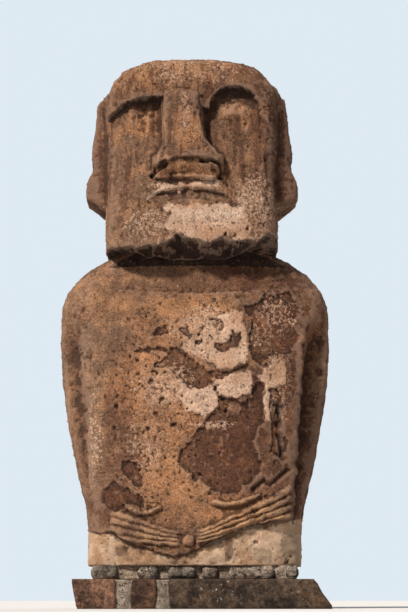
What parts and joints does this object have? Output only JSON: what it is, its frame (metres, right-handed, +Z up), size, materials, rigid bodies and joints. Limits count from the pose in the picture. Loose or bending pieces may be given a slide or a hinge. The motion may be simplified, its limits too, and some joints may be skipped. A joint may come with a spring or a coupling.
{
  "type": "moai statue on a masonry pedestal",
  "caption": "Carved volcanic-stone ancestor figure with a long-eared square head, arms and hands in relief, on a packing course and low block pedestal.",
  "frame": {"origin": "on the ground, at the middle of the pedestal's underside", "axes": "+Z up, the figure faces -Y, +X is the figure's left and the viewer's right"},
  "size_m": [2.7023, 1.7914, 5.51],
  "materials": {
    "tuff": "weathered volcanic tuff, tan skin flaking to dark brown rock",
    "packing_stone": "rough grey-brown basalt cobble with pale lichen",
    "red_scoria": "porous red-brown scoria block",
    "basalt": "rough dark basalt block with lichen",
    "mortar": "pale sandy lime mortar"
  },
  "bodies": {
    "root": {"statue": "tuff", "packing_front_1": "packing_stone", "packing_front_2": "packing_stone", "packing_front_3": "packing_stone", "packing_front_4": "packing_stone", "packing_front_5": "packing_stone", "packing_front_6": "packing_stone", "packing_side_1": "packing_stone", "packing_side_2": "packing_stone", "packing_side_3": "packing_stone", "packing_side_4": "packing_stone", "packing_back_1": "packing_stone", "packing_back_2": "packing_stone", "packing_back_3": "packing_stone", "packing_back_4": "packing_stone", "packing_back_5": "packing_stone", "packing_mortar": "mortar", "pedestal_front_left": "red_scoria", "pedestal_front_middle": "red_scoria", "pedestal_front_long": "basalt", "pedestal_left": "basalt", "pedestal_right": "red_scoria", "pedestal_back_left": "basalt", "pedestal_back_middle": "red_scoria", "pedestal_back_right": "basalt", "pedestal_mortar": "mortar"}
  },
  "joints": []
}
